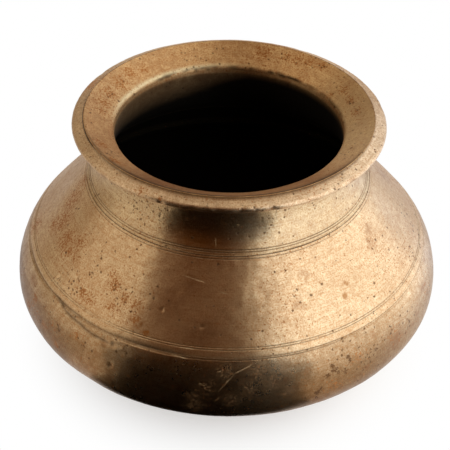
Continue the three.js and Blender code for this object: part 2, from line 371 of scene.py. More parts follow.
BOWL_SPOTS = (
    (44.3, 14.3, 3), (48, 17, 4), (-48.7, 13.4, 2.4), (-44.9, 10.6, 1.8), (-38.1, 12.8, 2), (-57, 5.2, 2),
    (-56.2, 18.8, 2), (38, 8, 5), (30, 20, 5), (56, 12, 6), (110, 10, 8), (-140, 12, 9),
)
BOWL_CRUST = (
    (32.6, 15.5, 1.7), (33.1, 13.6, 1.5), (28.4, 11.6, 2.2), (27.8, 14.2, 1.5), (29.4, 9.2, 1.3),
    (26.3, 9.5, 1.8), (31.5, 7.7, 1.4), (23.5, 0.3, 2.2), (23.2, -3.7, 1.4), (32.1, 26, 1.1),
    (36.3, 17.6, 1.2), (41.7, 11.4, 1.4), (39.5, 23.3, 1.1), (21.8, 14.3, 0.9), (24.3, 2.6, 1.4),
    (-48.6, 12.9, 1.2), (-57, 5.2, 1.2), (-29.8, 10.6, 1), (96, 12, 2), (98.5, 9, 1.5), (-150, 14, 1.8),
    (172, 2, 2),
)
BOWL_SCUFFS = (
    (-7.6, 4.3, 3), (-6.6, -0.1, 3.4), (-8.1, -3.1, 3), (-7.2, -4.6, 2.5), (-4.5, 11, 4), (0, 20, 4),
    (8, 20, 5), (12, 12, 6), (16, 6, 5), (6, 10, 5), (14, 20, 5), (2, 4, 4), (100, 0, 9), (-150, 4, 9),
)


def marks(azimuth, distance, radius, places):
    """The strongest of several soft marks at each point of a face."""
    total = np.zeros((len(azimuth), len(distance)))
    for place in places:
        total = np.maximum(total, spot(azimuth, distance, radius, place))
    return total


def make_body_piece(node, turns, rows, tints, outside, inside):
    """A piece of the body from its rows, each a distance and a depth in the wall. The outside's relief
    fades out through the wall and at the foot, the tints lie on the outside alone, and the inside gets
    painted shade that darkens it nearly to black."""
    azimuth, distance, depth = azimuths(turns), rows[:, 0], rows[:, 1]
    fade = np.clip(1 - depth / BODY_WALL, 0, 1)
    standing = np.clip((distance + UNDERSIDE_LENGTH + LOWER_TURN_LENGTH - FOOT_RADIUS) / 12, 0, 1)
    relief = body_relief(azimuth, distance) * fade * standing
    section = body_wall(np.broadcast_to(distance, relief.shape), depth + relief)
    outer = 1.0 * (depth < 1)
    tints = {tint: values * outer for tint, values in tints.items()}
    # Inside rows get painted shade; the outside gets dirt in its lines and painted shade in the belly
    # crease
    tints.update(grime=joint_grime_and_crease_shade(azimuth, distance) * outer, soot=1 - outer)
    finished_piece(node, section, tints, outer < 1, (outside, inside))


def along_wall(first, last, depth):
    """Two ends of a straight run in the wall, each a distance and a depth."""
    return [(first, depth), (last, depth)]


def make_bowl(outside, inside):
    """Lower half: underside, belly and joint edge outside, then the upstand, its joggle and the inside."""
    axis = -LOWER_TURN_LENGTH - UNDERSIDE_LENGTH
    upstand = BODY_WALL + CLEARANCE
    upstand_inside = upstand + BODY_WALL
    lap = BELLY_JOINT + BELLY_LAP
    fineness = ((UNDERSIDE_LENGTH - 6, 4), (BELLY_JOINT - 9 - axis, 1.3), (BELLY_JOINT - axis, 0.5))
    rows = outline(
        (along_wall(axis, BELLY_JOINT, 0), fineness, 0.15, *(line - axis for line in BOWL_LINES)),
        ([(BELLY_JOINT, 0), (BELLY_JOINT, upstand)], 1, 0.3),
        (along_wall(BELLY_JOINT, lap, upstand), 2.5, 0.5),
        ([(lap, upstand), (lap, upstand_inside)], 1, 0.5),
        (along_wall(lap, BELLY_JOINT, upstand_inside), 2.5, 1),
        ([(BELLY_JOINT, upstand_inside), (BELLY_JOINT - BODY_WALL, BODY_WALL)], 1, 1),
        (along_wall(BELLY_JOINT - BODY_WALL, axis, BODY_WALL), 7, 0),
    )
    turns = 680
    azimuth, distance = azimuths(turns), rows[:, 0]
    face = azimuth, distance
    small_stains = marks(*face, 117, [(*place, 2.4) for place in scattered(150, -12, 24, seed=12)])
    sides = 0.35 * stretch(azimuth, 16, 46, 16) - 0.25 * stretch(azimuth, 54, 82, 20)
    sides = sides + 0.3 * stretch(azimuth, -110, -38, 30) * (distance < 16)
    tints = {
        "rust": marks(*face, 115, BOWL_RUST),
        "freckles": np.maximum(0.2, marks(*face, 117, BOWL_FRECKLES)),
        "stain": np.maximum(marks(*face, 117, BOWL_STAINS), small_stains),
        "crust": marks(*face, 117, BOWL_CRUST),
        "spots": marks(*face, 117, BOWL_SPOTS),
        "scuffs": marks(*face, 117, BOWL_SCUFFS),
        "browned": 0.25 + sides + 0.4 * np.clip((BELLY_JOINT - 3 - distance) / 16, 0, 1),
    }
    make_body_piece("bowl", turns, rows, tints, outside, inside)


def make_shoulder(outside, inside):
    """Upper half: the outside from joint to joint, the edge at the neck, the inside and the lap's edge."""
    low, high = BELLY_JOINT + SEAM, NECK_JOINT - SEAM
    rows = outline(
        (along_wall(low, high, 0), 0.85, 0.15, *(line - low for line in SHOULDER_LINES)),
        ([(high, 0), (high, BODY_WALL)], 1, 0.3),
        (along_wall(high, low, BODY_WALL), 5, 0.3),
        ([(low, BODY_WALL), (low, 0)], 1, 0.15),
    )
    turns = 900
    azimuth, distance = azimuths(turns), rows[:, 0]
    face = azimuth, distance
    tints = {
        "rust": marks(*face, 95, SHOULDER_RUST),
        "freckles": np.maximum(0.15, marks(*face, 95, SHOULDER_FRECKLES)),
        "stain": marks(*face, 95, SHOULDER_STAINS),
        "blotch": marks(*face, 95, SHOULDER_BLOTCHES),
        "spots": marks(*face, 95, SHOULDER_SPOTS),
        "browned": 0.14 * stretch(azimuth, 78, 130, 30),
    }
    make_body_piece("shoulder", turns, rows, tints, outside, inside)


# Heights and directions of the neck and its mouth
WAIST_HEIGHT = body_wall(NECK_JOINT, 0)[1] + WAIST_RISE
THROAT_CORNER = np.array([THROAT_RADIUS, WAIST_HEIGHT + THROAT_RISE])
FLARE_OUT = np.array([math.cos(FLARE_SLOPE), math.sin(FLARE_SLOPE)])
FLARE_UP = np.array([-math.sin(FLARE_SLOPE), math.cos(FLARE_SLOPE)])
FLARE_LENGTH = (FLARE_EDGE_RADIUS - THROAT_RADIUS) / FLARE_OUT[0]
FLARE_EDGE = THROAT_CORNER + FLARE_OUT * FLARE_LENGTH
UNDER_THROAT = THROAT_CORNER - FLARE_UP * FLARE_WALL
UNDER_FLARE_RADIUS = ((WAIST_RADIUS - UNDER_THROAT[0]) * FLARE_OUT[1]
                      + (UNDER_THROAT[1] - WAIST_HEIGHT) * FLARE_OUT[0]) / (1 - FLARE_OUT[1])
UNDER_FLARE_CENTRE = np.array([WAIST_RADIUS + UNDER_FLARE_RADIUS, WAIST_HEIGHT])


def cove(depth, end_radius):
    """Arc of the neck's foot: it leaves the shoulder's slope at a depth and ends plumb at the waist."""
    start = body_wall(NECK_JOINT, depth)
    rise = WAIST_HEIGHT - start[1] - (start[0] - end_radius) / math.tan(UPPER_LEAN)
    radius = rise * math.sin(UPPER_LEAN) / (1 - math.cos(UPPER_LEAN))
    angles = np.linspace(math.pi + UPPER_LEAN, math.pi, 40)
    return np.vstack([start, on_circle((end_radius + radius, WAIST_HEIGHT), radius, angles)])


def face_section(rows, relief):
    """Outlines of a piece at every azimuth: each row moved into the metal by the relief."""
    ahead, behind = np.roll(rows[:, :2], -1, axis=0), np.roll(rows[:, :2], 1, axis=0)
    along = (ahead - behind) / np.linalg.norm(ahead - behind, axis=1, keepdims=True)
    inward = np.column_stack([-along[:, 1], along[:, 0]])
    return rows[None, :, :2] + relief[..., None] * inward


# Places on the neck, up the collar or inwards from the flare's edge. Streaks lie between two azimuths
NECK_PITS = (
    (-35.7, 17.5), (-38.7, 10), (-28.8, 15.5), (-33, 13), (-41, 15), (-46, 18), (-31, 19), (-52, 16),
    (-25.5, 20), (24, 18.5), (33, 14),
)
THROAT_STREAKS = ((-151, -138, 0.8), (-173, -155, 1), (164, 181, 0.9), (139, 160, 1), (90, 138, 0.6))
FLARE_RUST = (
    (-135.8, 9, 3), (-118.7, 9.5, 4.5), (-109.2, 9.5, 4.5), (-101, 9, 4.5), (-94.5, 10.5, 4),
    (-66.5, 7, 3.5), (-52.3, 5.5, 4), (-128, 7, 4), (153, 5.5, 3.2), (148, 5.2, 3.5), (142, 5, 3.6),
    (135.5, 3.4, 3), (115.6, 8.5, 3.2), (107, 9, 3.5), (98, 9.5, 3.5), (118.7, 16, 2.8), (165, 6, 6),
)
FLARE_STAINS = (
    (67.1, 10, 2.2), (58.3, 8.7, 1.6), (-146, 23.5, 4), (-165, 24, 5), (170, 23.5, 5), (148, 22, 4),
)
FLARE_SPOTS = (
    (153, 5.5, 2.6), (147, 5, 3), (141, 5, 3), (135, 3.6, 2.4), (107, 9, 2.4), (98, 9.5, 2.4),
    (-109, 9.5, 3), (-94.5, 10.5, 3), (-60, 8, 5), (-20, 8, 6), (60, 9, 6), (-160, 10, 6), (120, 12, 5),
)
NECK_SPOTS = (
    (-36, 17.5, 5), (-30, 19, 6), (-42, 15, 6), (-50, 20, 6), (-58, 21, 5), (-36, 9, 5), (18, 17, 5),
    (24, 19, 5), (40, 18, 4), (60, 20, 4), (-110, 16, 6), (140, 16, 7),
)


def make_neck(collar_finish, flare_finish, inside):
    """Collar and flare: foot cove, waist and underside outside, the flare's edge and face, the throat,
    and the inside down to the flange under the shoulder, darkened with painted shade."""
    outer_cove = cove(0, WAIST_RADIUS)
    turn = np.linspace(math.pi, math.pi / 2 + FLARE_SLOPE, 30)
    under = on_circle(UNDER_FLARE_CENTRE, UNDER_FLARE_RADIUS, turn)
    under_edge = FLARE_EDGE - FLARE_UP * FLARE_WALL
    tangent = THROAT_ROUND * math.tan((math.pi / 2 - FLARE_SLOPE) / 2)
    round_centre = (THROAT_RADIUS + THROAT_ROUND, THROAT_CORNER[1] - tangent)
    throat = on_circle(round_centre, THROAT_ROUND, np.linspace(math.pi / 2 + FLARE_SLOPE, math.pi, 16))
    inner_cove = cove(NECK_FOOT_WALL, THROAT_RADIUS)[::-1]
    flange = body_wall(NECK_JOINT - NECK_LAP, NECK_FOOT_WALL)
    flange_outside = body_wall(NECK_JOINT - NECK_LAP, BODY_WALL + CLEARANCE)
    flange_top = body_wall(NECK_JOINT, BODY_WALL + CLEARANCE)
    rows = outline(
        (np.vstack([outer_cove, under[1:], under_edge]), 0.9, 0.4, *NECK_LINES),
        ([under_edge, FLARE_EDGE], 1.2, 0.5),
        (np.vstack([FLARE_EDGE, throat, inner_cove]), ((22, 0.7), (32, 1.3), (100, 4)), 0.5),
        ([inner_cove[-1], flange], 2.5, 0.5),
        ([flange, flange_outside], 1, 0.4),
        ([flange_outside, flange_top], 2.5, 0.3),
        ([flange_top, outer_cove[0]], 1, 0.15),
    )
    turns = 680
    azimuth, run, along = azimuths(turns), rows[:, 2], rows[:, 3]
    face = azimuth, along
    collar, mouth = run == 0, run == 2
    flare, throat_end = along < FLARE_LENGTH, FLARE_LENGTH + 30
    relief = 0.07 + 0.05 * waves(*face, 72, 12, 34, 20, seed=41)
    relief += 0.02 * waves(*face, 72, 4, 9, 24, seed=42)
    for station in NECK_LINES:
        relief += LINE_DEPTH * turned_line(along, station) * collar
    relief += pits(*face, 70, NECK_PITS, 0.8, 0.16) * collar
    relief += pits(*face, 70, scattered(50, 4, 24, seed=43), 0.7, 0.1) * collar
    relief += pits(*face, 72, scattered(60, 1, 18, seed=44), 0.7, 0.12) * mouth
    streaks = np.zeros(relief.shape)
    for first, last, strength in THROAT_STREAKS:
        streaks = np.maximum(streaks, strength * stretch(azimuth, first, last, 8))
    ragged = np.clip(0.65 + 0.8 * waves(azimuth, 2.5 * along, 64, 4, 14, 24, seed=45), 0, 1)
    streaks = streaks * ragged * bell(along - FLARE_LENGTH - 0.3, 1.4) * mouth
    relief += 0.15 * streaks
    relief = np.maximum(relief, 0) * np.clip((throat_end - along) / 6, 0, 1) * (collar | mouth)
    worn = 0.7 + 0.3 * waves(*face, 72, 25, 70, 8, seed=46)
    grime = np.zeros(relief.shape)
    for station in (0, *NECK_LINES):
        strength = LINE_DIRT if station else NECK_JOINT_DIRT
        grime = np.maximum(grime, strength * worn * bell(along - station, DIRT_SPREAD) * collar)
    crack, front = stretch(azimuth, -98, -58, 12), stretch(azimuth, -62, 62, 40)
    edge_dirt = bell(along, 0.4 + 3.2 * front) * mouth * (0.1 + 0.8 * np.maximum(crack, front))
    # Painted highlights: a band along the throat's rounded edge at the back left, and a lighter right side
    # of the flare
    edge_highlight = bell(along - FLARE_LENGTH + 1.4, 1.3) * stretch(azimuth, -178, -98, 30)
    polish = np.maximum(edge_highlight, 0.4 * stretch(azimuth, 62, 118, 40) * flare)
    tints = {
        "grime": np.maximum(grime, edge_dirt),
        "rust": marks(*face, 73, FLARE_RUST) * mouth,
        "freckles": np.maximum(0.5 * mouth, 0.35 * collar * stretch(azimuth, -180, -16, 20)),
        "stain": marks(*face, 70, FLARE_STAINS) * mouth,
        # Painted shade: the front of the flare's face is darkened
        "browned": 1.15 * stretch(azimuth, -42, 46, 36) * (along < FLARE_LENGTH + 1) * mouth,
        "spots": np.where(collar, marks(*face, 72, NECK_SPOTS), marks(*face, 72, FLARE_SPOTS)),
        "polish": polish * mouth,
    }
    # Painted shade down the throat: it darkens to near black below the rounded edge, more slowly at the
    # back left
    into_throat = along - FLARE_LENGTH - 2
    shade_reach = 5 + 15 * stretch(azimuth, -170, -100, 50)
    soot = np.clip(0.72 + 0.28 * into_throat / shade_reach, 0, 1) * np.clip(into_throat / 2, 0, 1) * mouth
    # Painted shade on the front of the flare, near its outer edge
    painted_front_shade = 0.6 * stretch(azimuth, -46, 48, 36) * bell(along, 4) * mouth
    # The throat's dark streaks are real marks, and they share this attribute with the painted shade
    tints["soot"] = np.maximum(np.maximum(soot, 0.8 * streaks), np.maximum(painted_front_shade, run > 2))
    finish = np.where(collar, 0, np.where((run == 1) | (mouth & (along < throat_end + 4)), 1, 2))
    section = face_section(rows, relief)
    finished_piece("neck", section, tints, finish, (collar_finish, flare_finish, inside))


# Places on the rim, up its bevels
LIP_RUST = ((-23.2, 11, 1.6), (-31, 12, 2.4), (-110, 12, 8), (160, 12, 10))
LIP_NICKS = (
    (-12, 9, 2.5), (-7, 9, 2), (-3, 9.2, 3), (4, 9, 2), (-48, 8.8, 3), (-58, 9, 2), (-23, 9, 1.6),
    (15, 9, 2.5), (30, 9, 2), (48, 8.8, 3), (150, 9, 4), (-120, 9, 3), (98, 9, 4),
)


def make_lip_ring(outside, inside):
    """Rim ring: foot, lower bevel, rounded crown, upper bevel, and the rebate that holds the flare."""
    beside = FLARE_EDGE + FLARE_OUT * SEAM
    corner = beside - FLARE_UP * (FLARE_WALL + CLEARANCE)
    corner_end = corner - FLARE_OUT * (corner[0] - LIP_BORE_RADIUS) / FLARE_OUT[0]
    crown_centre = np.array([LIP_RADIUS - LIP_ROUND, FLARE_EDGE[1] - LIP_CROWN_DROP])
    foot = np.array([LIP_FOOT_RADIUS, FLARE_EDGE[1] - LIP_DEPTH])
    bore = np.array([LIP_BORE_RADIUS, foot[1]])
    to_top, to_foot = beside - crown_centre, foot - crown_centre
    low = math.atan2(to_foot[1], to_foot[0]) + math.acos(LIP_ROUND / np.hypot(*to_foot))
    high = math.atan2(to_top[1], to_top[0]) - math.acos(LIP_ROUND / np.hypot(*to_top))
    crown = on_circle(crown_centre, LIP_ROUND, np.linspace(low, high, 20))
    rows = outline(
        ([bore, foot], 0.8, 0.5),
        (np.vstack([foot, crown, beside]), 0.33, 0.35),
        ([beside, corner], 1.2, 0.4),
        ([corner, corner_end], 1.5, 0.3),
        ([corner_end, bore], 1.2, 0.3),
    )
    turns = 900
    azimuth, run, along = azimuths(turns), rows[:, 2], rows[:, 3]
    face = azimuth, along
    bevels, rebate = run == 1, run == 2
    inner_edge = along[bevels].max()
    relief = 0.06 + 0.045 * waves(*face, 82, 10, 30, 20, seed=51)
    relief += 0.035 * waves(*face, 82, 2.5, 7, 30, seed=52)
    relief += 0.3 * marks(*face, 83, LIP_NICKS)
    relief += pits(*face, 82, scattered(70, 1, 16, seed=53), 0.7, 0.15)
    opening = 0.22 * stretch(azimuth, -97, -62, 14)
    relief = np.maximum(relief, 0) * bevels + opening * (rebate | (bevels & (along > 14)))
    front = stretch(azimuth, -62, 62, 40)
    edge = bell(along - inner_edge, 0.4 + 0.7 * front) * bevels
    dirty = np.maximum(stretch(azimuth, -98, -58, 12), 0.9 * front)
    # Painted highlight: a thin light line along the ring's lower edge, strongest at the left
    rubbed = bell(along - 0.9, 0.6) * np.maximum(stretch(azimuth, -80, -44, 8), 0.5)
    tints = {
        "grime": edge * (0.1 + 0.7 * dirty) + 0.6 * (run == 0),
        "rust": marks(*face, 83, LIP_RUST) * bevels,
        "freckles": 0.45 * bevels,
        "stain": marks(*face, 83, LIP_NICKS) * bevels,
        "spots": 0.12 * bevels,
        "polish": rubbed * bevels,
        # Painted shade: the upper bevel's inner edge at the front is darkened like the flare's front
        "browned": stretch(azimuth, -42, 44, 36) * bell(along - inner_edge, 2.4) * bevels,
    }
    section = face_section(rows, relief)
    finished_piece("lip_ring", section, tints, run > 1, (outside, inside))


def make_braze(node, corner, ends, material, seed):
    """Run of spelter in a corner: a hollow fillet between two faces, with the lumps it froze in."""
    corner, first, last = (np.asarray(point, float) for point in (corner, *ends))
    t = np.linspace(0, 1, 9)[:, None]
    pulled = 0.62 * (first + last) / 2 + 0.38 * corner
    hollow = (1 - t) ** 2 * first + 2 * t * (1 - t) * pulled + t**2 * last
    rows = outline(([corner, first], 1, 0), (hollow, 0.4, 0), ([last, corner], 1, 0))
    turns = 480
    fillet, along = rows[:, 2] == 1, rows[:, 3]
    lumps = 0.12 + 0.1 * waves(azimuths(turns), along, 80, 3, 12, 30, seed)
    middle = np.sin(np.pi * np.clip(along / along[fillet].max(), 0, 1)) * fillet
    section = face_section(rows, np.maximum(lumps, 0) * middle)
    # Painted shade, as inside the pot
    tints = {"soot": np.full(1, 0.6)}
    finished_piece(node, section, tints, np.zeros(len(rows), bool), (material,))


def empty_material(name):
    """A material whose node tree is still empty."""
    material = bpy.data.materials.new(name)
    material.use_nodes = True
    material.node_tree.nodes.clear()
    return material


# Kinds of nodes that are used often
MATH = "ShaderNodeMath"
VECTOR_MATH = "ShaderNodeVectorMath"
MAP_RANGE = "ShaderNodeMapRange"
NOISE = "ShaderNodeTexNoise"


def add(tree, kind, inputs=(), **settings):
    """Adds a node to a tree with its settings, gives its inputs, by name or in order, a value or a link
    from a socket each, and returns its outputs."""
    node = tree.nodes.new(kind)
    for name, value in settings.items():
        setattr(node, name, value)
    for name, value in inputs.items() if isinstance(inputs, dict) else enumerate(inputs):
        if isinstance(value, bpy.types.NodeSocket):
            tree.links.new(value, node.inputs[name])
        else:
            node.inputs[name].default_value = value
    return node.outputs


def colour(code):
    """An sRGB hex colour as linear red, green, blue and alpha."""
    parts = np.array([int(code[i:i + 2], 16) for i in (1, 3, 5)]) / 255
    linear = np.where(parts <= 0.04045, parts / 12.92, ((parts + 0.055) / 1.055) ** 2.4)
    return (*linear.tolist(), 1.0)


def dots(tree, place, spacing, share):
    """Round marks in some cells of a pattern, 1 inside them. The cells are a spacing apart and the marks
    are up to that wide, in millimetres. The share of the cells that hold one may vary."""
    cells = add(tree, "ShaderNodeTexVoronoi", {"Vector": place, "Scale": 1 / spacing})
    chance = add(tree, "ShaderNodeSeparateColor", {"Color": cells["Color"]})
    picked = add(tree, MATH, [chance["Red"], share], operation="LESS_THAN")[0]
    limit = add(tree, MATH, [chance["Green"], 0.3, 0.2], operation="MULTIPLY_ADD")[0]
    inside = add(tree, MATH, [limit, cells["Distance"]], operation="SUBTRACT")[0]
    inside = add(tree, MAP_RANGE, {"Value": inside, "From Max": 0.225})[0]
    return add(tree, MATH, [inside, picked], operation="MULTIPLY")[0]


def straight_mark(tree, place, first, last):
    """A thin straight mark between two points, a scratch or a painted glint: 1 near the plane that holds
    both points and the pot's origin, and within half its length of its middle."""
    first, last = Vector(at(*first)), Vector(at(*last))
    middle, half = (first + last) / 2, (last - first).length / 2
    offset = add(tree, VECTOR_MATH, [place, middle], operation="SUBTRACT")[0]
    normal = (last - first).cross(middle).normalized()
    across = add(tree, VECTOR_MATH, [offset, normal], operation="DOT_PRODUCT")["Value"]
    across = add(tree, MATH, [across], operation="ABSOLUTE")[0]
    thin = add(tree, MAP_RANGE, {"Value": across, "From Min": 0.4, "From Max": 0.1})[0]
    reach = add(tree, VECTOR_MATH, [offset], operation="LENGTH")["Value"]
    short = add(tree, MAP_RANGE, {"Value": reach, "From Min": half + 0.4, "From Max": 0.6 * half})[0]
    return add(tree, MATH, [thin, short], operation="MULTIPLY")[0]


# What the surfaces tell the brass at each of their points, from 0 to 1
TINTS = "browned polish stain blotch rust freckles spots crust scuffs grime soot".split()


def old_brass(name, bright, dull, warm, roughness, grooving, scratches_and_glints=()):
    """Aged brass from three tones: bright metal, dull tarnish and a warm, coppery tarnish. It has fine
    lathe lines, a mottle of 3 mm, pinholes, rust, crusts and scuffs where the piece is marked for them,
    dirt in its lines, soot, scratches, and painted light where marked: painted highlights, painted
    glints and painted shade. Grooving is how deep the lathe lines are, in millimetres."""
    material = empty_material(name)
    tree = material.node_tree
    place = add(tree, "ShaderNodeTexCoord")["Object"]
    place = add(tree, VECTOR_MATH, {0: place, "Scale": 1 / MM}, operation="SCALE")[0]
    level = add(tree, VECTOR_MATH, [place, (1, 1, 0)], operation="MULTIPLY")[0]
    radius = add(tree, VECTOR_MATH, [level], operation="LENGTH")["Value"]
    parts = add(tree, "ShaderNodeSeparateXYZ", [place])
    drift = add(tree, MATH, [parts["X"], 0.03], operation="MULTIPLY")[0]
    ring = add(tree, "ShaderNodeCombineXYZ", {"X": radius, "Y": parts["Z"], "Z": drift})[0]
    browned, polish, stain, blotch, rust, freckles, spots, crust, scuffs, grime, soot = (
        add(tree, "ShaderNodeAttribute", attribute_name=tint)["Fac"] for tint in TINTS)

    # Tarnish in clouds 28 mm across and a mottle of 3 mm, with a grain of 0.8 mm
    clouds = add(tree, NOISE, {"Vector": place, "Scale": 1 / 28, "Detail": 3})["Fac"]
    mottle = add(tree, NOISE, {"Vector": place, "Scale": 1 / 3.2, "Detail": 4})["Fac"]
    grain = add(tree, NOISE, {"Vector": place, "Scale": 1 / 0.8, "Detail": 2})["Fac"]
    # Lathe lines are about 0.2 mm apart on the pot and are drawn at 0.8 mm, so that they show
    lathe = add(tree, NOISE, {"Vector": ring, "Scale": 1 / 0.8, "Detail": 3})["Fac"]
    # Marks lie in cells whose edges are made uneven by about 0.3 mm
    uneven = add(tree, NOISE, {"Vector": place, "Scale": 1 / 1.1, "Detail": 2})["Color"]
    uneven = add(tree, VECTOR_MATH, [uneven, (1.2, 1.2, 1.2), place], operation="MULTIPLY_ADD")[0]

    # Dull and warm tarnish, and painted highlights on edges
    both = add(tree, MATH, [clouds, 0.7, mottle], operation="MULTIPLY_ADD")[0]
    dulled = add(tree, MAP_RANGE, {"Value": both, "From Min": 0.6, "From Max": 1.1})[0]
    streak = add(tree, MATH, [lathe, 0.5, grain], operation="MULTIPLY_ADD")[0]
    streak = add(tree, MAP_RANGE, {"Value": streak, "From Min": 0.64, "From Max": 0.96, "To Max": 0.75})[0]
    rubbed = add(tree, MATH, [polish, 0.6], operation="MULTIPLY")[0]
    # Soft smudges broken up by the mottle, and blotches
    smudge = add(tree, MATH, [stain, mottle], operation="MULTIPLY")[0]
    smudge = add(tree, MAP_RANGE, {"Value": smudge, "From Min": 0.1, "From Max": 0.6, "To Max": 0.5})[0]
    blotch = add(tree, MAP_RANGE, {"Value": blotch, "From Min": 0.25, "From Max": 0.8, "To Max": 0.75})[0]
    # Rust: grains of 1 mm, a few everywhere and running together in the marked places, and a brown haze
    haze = add(tree, MATH, [rust, mottle], operation="MULTIPLY")[0]
    haze = add(tree, MAP_RANGE, {"Value": haze, "From Max": 0.7, "To Max": 0.28})[0]
    coarse = add(tree, NOISE, {"Vector": place, "Scale": 1 / 1.1, "Detail": 2, "Roughness": 0.6})["Fac"]
    rusty = add(tree, MATH, [rust, 0.15, coarse], operation="MULTIPLY_ADD")[0]
    rusty = add(tree, MATH, [freckles, 0.08, rusty], operation="MULTIPLY_ADD")[0]
    rusty = add(tree, MAP_RANGE, {"Value": rusty, "From Min": 0.65, "From Max": 0.71, "To Max": 0.68})[0]
    # Dark pinholes up to 1.9 mm across, a few everywhere and many in the marked places, and ragged crusts
    speckled = add(tree, MATH, [spots, 1.1, 0.07], operation="MULTIPLY_ADD")[0]
    fleck = dots(tree, uneven, 1.9, speckled)
    crust = add(tree, MATH, [crust, 0.45, coarse], operation="MULTIPLY_ADD")[0]
    crust = add(tree, MAP_RANGE, {"Value": crust, "From Min": 0.72, "From Max": 0.8})[0]
    fleck = add(tree, MATH, [fleck, crust], operation="MAXIMUM")[0]
    fleck = add(tree, MATH, [fleck, 0.75], operation="MULTIPLY")[0]
    # Dull scuffs in patches, and scratches and painted glints
    rough = add(tree, MAP_RANGE, {"Value": grain, "From Min": 0.48, "From Max": 0.72, "To Max": 0.6})[0]
    patch = add(tree, MATH, [scuffs, rough], operation="MULTIPLY")[0]
    scuff, lines = patch, []
    for first, last, strength in scratches_and_glints:
        line = straight_mark(tree, place, first, last)
        line = add(tree, MATH, [line, strength], operation="MULTIPLY")[0]
        # Light strokes: scratches, and painted glints where marked
        lines.append((line, "#A08A66", "MIX"))
        scuff = add(tree, MATH, [scuff, line], operation="MAXIMUM")[0]
    # Dirt in lines and joints, with painted shade in the belly crease
    dirt_and_crease_shade = add(tree, MATH, [grime, 0.8], operation="MULTIPLY")[0]

    # The tone is built up in layers over the bright metal: each covers a share of it with its colour
    # Painted light here: the pale rubbed layer is painted highlight, the light strokes hold painted
    # glints, and the grey multiplied, dirt and last near-black layers carry painted shade where marked
    layers = [
        (dulled, dull, "MIX"), (streak, warm, "MIX"), (rubbed, "#DCC694", "MIX"),
        (browned, "#B9AA9A", "MULTIPLY"), (smudge, "#8A5A34", "MIX"), (blotch, "#8E5828", "MIX"),
        (haze, "#B07438", "MIX"), (rusty, "#A05A1C", "MIX"), (fleck, "#4E2E14", "MIX"),
        (patch, "#5E4C3A", "MIX"), *lines, (dirt_and_crease_shade, "#3E2812", "MIX"), (soot, "#140F09", "MIX"),
    ]
    tone = colour(bright)
    for share, code, blend in layers:
        laid = {0: share, 6: tone, 7: colour(code)}
        tone = add(tree, "ShaderNodeMix", laid, data_type="RGBA", blend_type=blend)[2]

    # Rust, dirt and soot are rough, scuffs are rough and hardly metallic, haze and pinholes stay metal
    coat = add(tree, MATH, [haze, fleck], operation="ADD")[0]
    coat = add(tree, MATH, [coat, 0.3, rusty], operation="MULTIPLY_ADD")[0]
    coat = add(tree, MATH, [coat, dirt_and_crease_shade], operation="MAXIMUM")[0]
    bare = add(tree, MATH, [coat, 0.2], operation="MULTIPLY")[0]
    bare = add(tree, MATH, [bare, scuff], operation="MAXIMUM")[0]
    metal = add(tree, MAP_RANGE, {"Value": bare, "To Min": 1.0, "To Max": 0.35})[0]
    coat = add(tree, MATH, [coat, scuff], operation="MAXIMUM")[0]
    coat = add(tree, MATH, [coat, soot], operation="MAXIMUM")[0]
    satin = add(tree, MATH, [dulled, 0.08, roughness], operation="MULTIPLY_ADD")[0]
    satin = add(tree, MATH, [coat, 0.3, satin], operation="MULTIPLY_ADD")[0]

    lift = add(tree, MATH, [lathe, grooving], operation="MULTIPLY")[0]
    lift = add(tree, MATH, [grain, 0.035, lift], operation="MULTIPLY_ADD")[0]
    lift = add(tree, MATH, [fleck, -0.03, lift], operation="MULTIPLY_ADD")[0]
    bump = add(tree, "ShaderNodeBump", {"Height": lift, "Distance": MM})[0]
    around = add(tree, "ShaderNodeTangent", direction_type="RADIAL", axis="Z")[0]
    brass = add(tree, "ShaderNodeBsdfPrincipled", {
        "Base Color": tone, "Metallic": metal, "Roughness": satin, "Normal": bump, "Tangent": around,
        "Anisotropic": 0.85, "Anisotropic Rotation": 0.25,
    })[0]
    add(tree, "ShaderNodeOutputMaterial", {"Surface": brass})
    return material


def plain_card(name, corners, shade, brightness, seen_by_all=False):
    """A flat card through corners given in millimetres, in one shade that glows or is lit. It shows in
    mirrors alone, unless it is seen by all."""
    material = empty_material(name)
    tree = material.node_tree
    if brightness:
        surface = add(tree, "ShaderNodeEmission", {"Color": colour(shade), "Strength": brightness})
    else:
        surface = add(tree, "ShaderNodeBsdfDiffuse", {"Color": colour(shade)})
    add(tree, "ShaderNodeOutputMaterial", {"Surface": surface[0]})
    mesh = bpy.data.meshes.new(name)
    mesh.from_pydata((np.array(corners) * MM).tolist(), [], [range(len(corners))])
    mesh.materials.append(material)
    card = shown(mesh)
    card.visible_camera = card.visible_diffuse = card.visible_shadow = seen_by_all
    return card


def at(azimuth, radius, height):
    """A point from an azimuth, a radius and a height."""
    angle = math.radians(azimuth)
    return (radius * math.sin(angle), -radius * math.cos(angle), height)


# Camera at the photograph's height and distance, turned a little about its own axis
CAMERA_ELEVATION = math.radians(37.38)
CAMERA_DISTANCE = 700
CAMERA_ROLL = math.radians(1.04)
CAMERA_LENS = 97.55
LOOKED_AT = (-1.27, 0, 73.02)
camera_data = bpy.data.cameras.new("camera")
camera_data.lens = CAMERA_LENS
camera_data.clip_start = 0.01
camera = shown(camera_data)
bpy.context.scene.camera = camera
back = Vector((0, -math.cos(CAMERA_ELEVATION), math.sin(CAMERA_ELEVATION)))
camera.location = (Vector(LOOKED_AT) + back * CAMERA_DISTANCE) * MM
camera.rotation_mode = "QUATERNION"
camera.rotation_quaternion = back.to_track_quat("Z", "Y") @ Quaternion((0, 0, 1), CAMERA_ROLL)

bpy.context.scene.view_settings.view_transform = "Standard"

